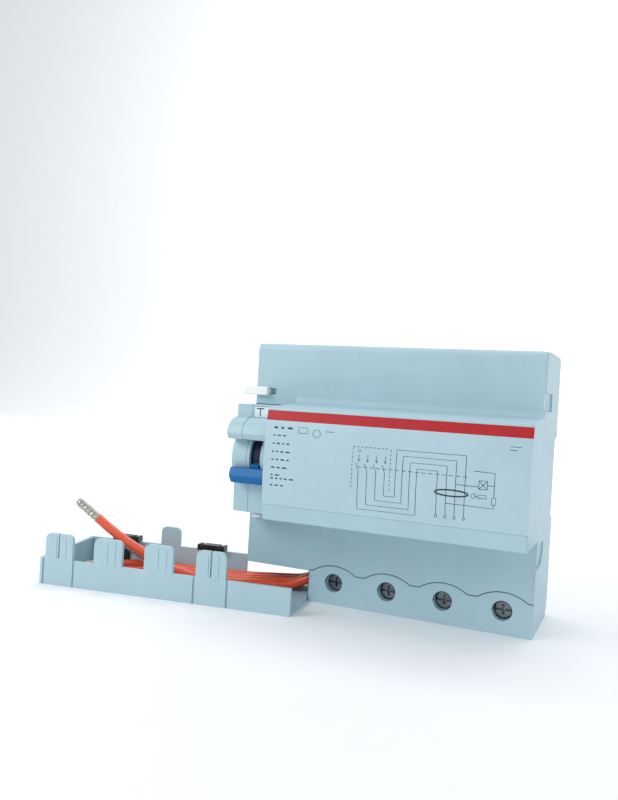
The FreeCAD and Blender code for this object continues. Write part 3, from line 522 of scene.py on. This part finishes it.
for name, route in leads.items():
    curve = bpy.data.curves.new(name + "_lead", "CURVE")
    curve.dimensions = "3D"
    curve.bevel_depth = leadDiameter / 2
    curve.bevel_resolution = 6
    curve.resolution_u = 16
    curve.use_fill_caps = True
    spline = curve.splines.new("NURBS")
    spline.points.add(len(route) - 1)
    for point, place in zip(spline.points, route):
        point.co = (*(Vector(place) * mm), 1)
    spline.order_u = 3
    spline.use_endpoint_u = True
    spline.use_smooth = True
    curve.materials.append(looks["insulation"])
    lead = finished(name + "_lead", curve, "root", [name])
    last, before = Vector(route[-1]) * mm, Vector(route[-2]) * mm
    end = makeFerrule(name.replace("cable", "crimped"), last, (last - before).normalized(), "root")
print("stage: leads laid")

# printed plate: line work swept along paths on the crowned front

crown = {"radius": 114.0, "middle": -0.4, "half": 22.5, "depth": 64.0, "sunk": 0.72, "step": 1.5}


def onPlate(x, z, radius):
    # the middle of a printed line of this radius, mostly sunk in the crowned face
    edge = math.sqrt(crown["radius"] ** 2 - crown["half"] ** 2)
    y = -crown["depth"] + edge - math.sqrt(crown["radius"] ** 2 - (z - crown["middle"]) ** 2)
    return Vector((x, y + radius * crown["sunk"], z)) * mm


def lineTree():
    tree = bpy.data.node_groups.new("printedLine", "GeometryNodeTree")
    face = tree.interface
    face.new_socket("Geometry", in_out="INPUT", socket_type="NodeSocketGeometry")
    face.new_socket("Line radius", in_out="INPUT", socket_type="NodeSocketFloat")
    face.new_socket("Print", in_out="INPUT", socket_type="NodeSocketMaterial")
    face.new_socket("Geometry", in_out="OUTPUT", socket_type="NodeSocketGeometry")
    start = tree.nodes.new("NodeGroupInput")
    end = tree.nodes.new("NodeGroupOutput")
    section = tree.nodes.new("GeometryNodeCurvePrimitiveCircle")
    section.inputs["Resolution"].default_value = 8
    sweep = tree.nodes.new("GeometryNodeCurveToMesh")
    sweep.inputs["Fill Caps"].default_value = True
    real = tree.nodes.new("GeometryNodeRealizeInstances")
    painted = tree.nodes.new("GeometryNodeSetMaterial")
    link = tree.links.new
    link(start.outputs["Geometry"], sweep.inputs["Curve"])
    link(start.outputs["Line radius"], section.inputs["Radius"])
    link(section.outputs["Curve"], sweep.inputs["Profile Curve"])
    link(sweep.outputs["Mesh"], real.inputs["Geometry"])
    link(real.outputs["Geometry"], painted.inputs["Geometry"])
    link(start.outputs["Print"], painted.inputs["Material"])
    link(painted.outputs["Geometry"], end.inputs["Geometry"])
    return tree


sweepTree = lineTree()


def swept(name, lines, radius, material, body="root"):
    # many open paths as one mesh of fine raised lines
    curve = bpy.data.curves.new(name, "CURVE")
    curve.dimensions = "3D"
    for line in lines:
        spline = curve.splines.new("POLY")
        spline.points.add(len(line) - 1)
        for point, place in zip(spline.points, line):
            point.co = (*place, 1)
    draft = bpy.data.objects.new("draft", curve)
    bpy.context.collection.objects.link(draft)
    modifier = draft.modifiers.new("sweep", "NODES")
    modifier.node_group = sweepTree
    for item in sweepTree.interface.items_tree:
        if item.in_out == "INPUT" and item.name == "Line radius":
            modifier[item.identifier] = radius
        if item.in_out == "INPUT" and item.name == "Print":
            modifier[item.identifier] = material
    bpy.context.view_layer.update()
    mesh = baked(draft)
    bpy.data.objects.remove(draft)
    smooth(mesh)
    return finished(name, mesh, body)


def printed(points, radius):
    # a path over the crowned plate, with extra points where it climbs
    path = []
    for (x0, z0), (x1, z1) in zip(points, points[1:]):
        steps = max(1, int(abs(z1 - z0) / crown["step"]))
        for step in range(steps):
            share = step / steps
            path.append(onPlate(x0 + (x1 - x0) * share, z0 + (z1 - z0) * share, radius))
    path.append(onPlate(*points[-1], radius))
    return path


# rows of print as left end, right end and height, with the bars' radius and greatest length
printRows = {
    "plate_title": {"radius": 0.62, "longest": 2.6, "rows": [(-38.0, -28.2, 14.2)]},
    "plate_rows": {"radius": 0.4, "longest": 2.0, "rows": [
        (-38.1, -31.6, 11.2), (-38.1, -30.6, 8.0), (-38.1, -30.4, 4.8), (-38.1, -30.6, 1.7),
        (-38.1, -30.2, -1.4), (-38.1, -33.6, -4.4), (-38.2, -27.2, -5.7), (-38.2, -32.6, -8.4),
    ]},
}
barSpacing = {"leastShare": 0.35, "gapInRadii": 2.6, "leastRoom": 0.4}


def bars(start, end, z, radius, longest):
    # a row of short bars that stands for a line of small print
    row = []
    x = start
    while x < end - barSpacing["leastRoom"]:
        length = min(random.uniform(barSpacing["leastShare"], 1) * longest, end - x)
        row.append(printed([(x, z), (x + length, z)], radius))
        x += length + barSpacing["gapInRadii"] * radius
    return row


for name, part in printRows.items():
    lines = []
    for start, end, z in part["rows"]:
        lines += bars(start, end, z, part["radius"], part["longest"])
    swept(name, lines, part["radius"] * mm, extras["printInk"])


def ring(x, z, wide, high, radius, sides=36):
    points = [(x + wide * math.cos(2 * math.pi * i / sides), z + high * math.sin(2 * math.pi * i / sides))
              for i in range(sides + 1)]
    return [onPlate(px, pz, radius) for px, pz in points]


def rectangle(x0, z0, x1, z1, radius):
    return printed([(x0, z0), (x1, z0), (x1, z1), (x0, z1), (x0, z0)], radius)


# the wiring diagram in mm: four poles, each with a switch, a nested loop and a way out at the foot
diagram = {
    "columns": [-1.6, 1.9, 5.4, 8.8],
    "switchLow": 0.4,
    "switchHigh": 3.9,
    "switchSlant": 1.1,
    "switchDrop": 0.6,
    "stub": 2.6,
    "arrow": (0.5, 0.9),
    "end": 0.45,
    "foot": [-13.9, -12.0, -10.0, -8.0],
    "turn": [21.0, 18.4, 15.6, 13.0],
    "top": [3.1, 5.2, 7.3, 9.4],
    "out": [28.7, 32.1, 35.4, 38.8],
    "low": -12.6,
    "frameLeft": -4.2,
    "frameRight": 10.8,
    "frameTop": 9.4,
    "frameLow": -6.2,
    "line": 0.16,
    "heavyLine": 0.42,
    "core": (34.0, -4.3, 6.0, 1.1),
    "testMark": (-1.6, 7.9, 0.5),
}
fine = diagram["line"]
heavy = diagram["heavyLine"]


def pole(number):
    # one pole's loop, open switch, stub, arrowhead and end ring
    x, turn, out, foot, top = (diagram[key][number] for key in ("columns", "turn", "out", "foot", "top"))
    low, high = diagram["switchLow"], diagram["switchHigh"]
    wide, tall = diagram["arrow"]
    end = diagram["end"]
    return [
        printed([(x, low), (x, foot), (turn, foot), (turn, top), (out, top), (out, diagram["low"])], fine),
        printed([(x - diagram["switchSlant"], high - diagram["switchDrop"]), (x, low)], fine),
        printed([(x, high), (x, high + diagram["stub"])], fine),
        printed([(x - wide, high + tall), (x, high), (x + wide, high + tall)], fine),
        ring(out, diagram["low"] - 0.5, end, end, fine, 16),
    ]


wires = []
for number in range(len(diagram["columns"])):
    wires += pole(number)
# the test circuit, the relay's boxes and the marks beside the title
wires += [
    printed([(41.8, 4.3), (49.1, 4.1), (49.1, -4.6)], fine),
    printed([(49.1, -7.0), (49.1, -8.3), (32.1, -8.1)], fine),
    printed([(35.4, -1.1), (43.7, -1.1)], fine),
    rectangle(43.7, -1.9, 46.7, 1.1, fine),
    printed([(43.7, -1.9), (46.7, 1.1)], fine),
    printed([(43.7, 1.1), (46.7, -1.9)], fine),
    printed([(46.7, -0.4), (49.1, -0.4)], fine),
    rectangle(48.4, -7.0, 49.8, -4.6, fine),
    ring(41.9, -4.5, 0.8, 0.8, fine, 20),
    rectangle(43.6, -5.1, 46.4, -3.9, fine),
    printed([(42.7, -4.5), (43.6, -4.5)], fine),
    rectangle(-27.4, 12.7, -23.6, 14.9, fine),
    ring(-19.7, 12.9, 1.7, 1.7, fine, 6),
    printed([(-16, 14.0), (-12.5, 14.0)], fine),
]


def dashes(points, dash=0.9, gap=0.7):
    marks = []
    for (x0, z0), (x1, z1) in zip(points, points[1:]):
        span = math.hypot(x1 - x0, z1 - z0)
        at = 0.0
        while at < span - dash:
            a, b = at / span, (at + dash) / span
            marks.append(printed([(x0 + (x1 - x0) * a, z0 + (z1 - z0) * a),
                                  (x0 + (x1 - x0) * b, z0 + (z1 - z0) * b)], fine))
            at += dash + gap
    return marks


left, low, right, top = (diagram[key] for key in ("frameLeft", "frameLow", "frameRight", "frameTop"))
wires += dashes([(left, low), (left, top), (right, top), (right, low)])
wires += dashes([(-2.2, 1.9), (41.8, 1.9)], 1.6, 0.9)
swept("plate_diagram", wires, fine * mm, extras["printInk"])
swept("plate_core", [ring(*diagram["core"], heavy, 48)], heavy * mm, extras["printInk"])
markX, markZ, markRadius = diagram["testMark"]
marks = [
    ring(markX, markZ, markRadius, markRadius, fine, 16),
    printed([(53.5, 13.8), (57.5, 13.8)], fine),
    printed([(53.5, 12.6), (56.2, 12.6)], fine),
]
swept("plate_test_mark", marks, fine * mm, extras["faintInk"])

# the letter on the test button

button = {"x": -50.4, "z": 19.4, "face": -54.4, "sunk": 0.3, "high": 3.2, "wide": 3.4, "stroke": 0.4}


def onButton(across, up):
    # a point on the button's face, as shares of the letter's width and height
    x = button["x"] + across * button["wide"]
    z = button["z"] + up * button["high"]
    return Vector((x, button["face"] + button["sunk"], z)) * mm


letter = [[onButton(-0.5, 0.5), onButton(0.5, 0.5)], [onButton(0, 0.5), onButton(0, -0.5)]]
swept("button_mark", letter, button["stroke"] * mm, extras["printInk"], "test_button")
print("stage: plate printed")

# dark lines of painted shade along the joints between the mouldings, standing for the shadow in the gaps


def jointEdges(node, keep, inset, sharpAngle=math.radians(40)):
    # sharp edges of a node that pass the test, as short paths just under the surface
    work = merged(nodes[node].data)
    paths = []
    for edge in work.edges:
        sharp = len(edge.link_faces) == 2 and edge.calc_face_angle() > sharpAngle
        ends = [vert.co / mm for vert in edge.verts]
        if sharp and all(keep(end) for end in ends):
            paths.append([(end + Vector(inset)) * mm for end in ends])
    work.free()
    return paths


def near(value, target, margin=0.05):
    return abs(value - target) < margin


# planes of the mouldings' faces in mm
face = {"shoulder": -38, "plateLow": -16.5, "shellSide": -54.3, "coverSide": -31.25}


def onCoverTop(p):
    return near(p.y, face["shoulder"]) and p.z > -51


def onCoverSide(p):
    return near(p.y, face["shoulder"]) and near(p.x, face["coverSide"], 0.1)


def onPlateLow(p):
    return near(p.z, face["plateLow"], 0.2) and p.y < -64.3


def onShellSide(p):
    return near(p.x, face["shellSide"], 0.06) and p.y < -40


def onModuleTop(p):
    return near(p.y, face["shoulder"], 0.1) and p.z > 20


# node, which of its edges, the line's shift and radius in mm, and its painted-shade material
joints = {
    "cover_joint": ("terminal_cover", onCoverTop, (0, 0.1, 0.1), 0.2, "seamPaintedShade"),
    "plate_joint": ("label_plate", onPlateLow, (0, 0.12, 0), 0.14, "groovePaintedShade"),
    "shell_joint": ("trip_module_left_shell", onShellSide, (0.03, 0.16, 0), 0.16, "seamPaintedShade"),
    "module_joint_left": ("trip_module_left_shell", onModuleTop, (0, -0.02, 0.1), 0.2, "seamPaintedShade"),
    "module_joint_right": ("trip_module_right_shell", onModuleTop, (0, -0.02, 0.1), 0.2, "seamPaintedShade"),
    "base_joint": ("terminal_cover", onCoverSide, (-0.1, 0.1, 0), 0.16, "seamPaintedShade"),
}
for name, (node, keep, inset, radius, paintedShadeName) in joints.items():
    paths = jointEdges(node, keep, inset)
    swept(name, paths, radius * mm, extras[paintedShadeName], bodyOf[node])

# fine grooves moulded in the tray's front and fingers, drawn as dark lines of painted shade

tray = {
    "corner": Vector((-27.25, -64.5, -59.5)),
    "yaw": math.radians(9),
    "length": 113.0,
    "firstFinger": 9.5,
    "pitch": 23.2,
    "wallTop": 11.0,
    "fingerTop": 20.6,
    "grooveFoot": 0.4,
    "groove": 0.1,
    "sunk": 0.04,
    "slitFingers": (0, 3),
    "besideSlit": (-1.1, 3.4),
    "plainFinger": (0, 3.6),
}


def onTray(along, high):
    # a point on the front face: along runs from the closed end
    way = Vector((math.cos(tray["yaw"]), math.sin(tray["yaw"]), 0))
    place = tray["corner"] - way * (tray["length"] - along)
    inward = Vector((-math.sin(tray["yaw"]), math.cos(tray["yaw"]), 0))
    return (place + inward * tray["sunk"] + Vector((0, 0, high))) * mm


grooves = []
for finger in range(4):
    middle = tray["firstFinger"] + finger * tray["pitch"]
    for offset in tray["besideSlit"] if finger in tray["slitFingers"] else tray["plainFinger"]:
        foot = onTray(middle + offset, tray["wallTop"] + tray["grooveFoot"])
        grooves.append([foot, onTray(middle + offset, tray["fingerTop"])])
swept("tray_grooves", grooves, tray["groove"] * mm, extras["groovePaintedShade"],
      bodyOf["cable_tray"])
print("stage: joint lines drawn")

# floor, backdrop and light

stage = {"floor": -59.5 * mm, "half": 2.2, "back": 1.6, "rise": 1.6, "bend": 0.5, "bendSteps": 16}


def floorProfile():
    # level, then a quarter turn up into the backdrop
    turn = stage["back"] - stage["bend"]
    profile = [(-stage["half"], 0.0), (turn, 0.0)]
    for step in range(1, stage["bendSteps"] + 1):
        angle = math.pi / 2 * step / stage["bendSteps"]
        profile.append((turn + stage["bend"] * math.sin(angle), stage["bend"] * (1 - math.cos(angle))))
    profile.append((stage["back"], stage["rise"]))
    return profile


def makeFloor():
    work = bmesh.new()
    profile = floorProfile()
    rows = [[work.verts.new((x, y, stage["floor"] + z)) for y, z in profile]
            for x in (-stage["half"], stage["half"])]
    for i in range(len(profile) - 1):
        work.faces.new((rows[0][i], rows[1][i], rows[1][i + 1], rows[0][i + 1]))
    mesh = bpy.data.meshes.new("floor")
    work.to_mesh(mesh)
    work.free()
    smooth(mesh)
    mesh.materials.append(plastic("paper", colour(248, 249, 250), 0.85, 0.1, 0.01))
    floor = bpy.data.objects.new("floor", mesh)
    bpy.context.collection.objects.link(floor)


makeFloor()

middle = (-0.02, -0.04, -0.01)
# place and aim in metres, power in watts
lamps = {
    "key": {
        "place": (-0.5, -0.55, 0.42),
        "aim": middle,
        "size": (0.34, 0.34),
        "power": 2.3,
        "tint": (1.0, 0.99, 0.97),
    },
    "fill": {
        "place": (0.75, -0.55, 0.25),
        "aim": middle,
        "size": (0.6, 0.6),
        "power": 0.5,
        "tint": (0.96, 0.98, 1.0),
    },
    "top": {
        "place": (0.05, 0.1, 0.9),
        "aim": middle,
        "size": (0.7, 0.7),
        "power": 1.3,
        "tint": (1, 1, 1),
    },
    "backdrop": {
        "place": (0.0, 0.5, 1.1),
        "aim": (-0.3, 1.6, 0.3),
        "size": (1.6, 0.6),
        "power": 16.0,
        "tint": (1, 1, 1),
    },
}
for name, lamp in lamps.items():
    light = bpy.data.lights.new(name, "AREA")
    light.shape = "RECTANGLE"
    light.size, light.size_y = lamp["size"]
    light.energy = lamp["power"]
    light.color = lamp["tint"]
    thing = bpy.data.objects.new(name, light)
    thing.location = lamp["place"]
    thing.rotation_euler = (Vector(lamp["aim"]) - Vector(lamp["place"])).to_track_quat("-Z", "Y").to_euler()
    bpy.context.collection.objects.link(thing)
sky = {"colour": (0.94, 0.96, 1.0, 1), "strength": 0.68}
world = bpy.data.worlds.new("studio")
world.use_nodes = True
world.node_tree.nodes["Background"].inputs["Color"].default_value = sky["colour"]
world.node_tree.nodes["Background"].inputs["Strength"].default_value = sky["strength"]
bpy.context.scene.world = world
print("stage: studio lit")
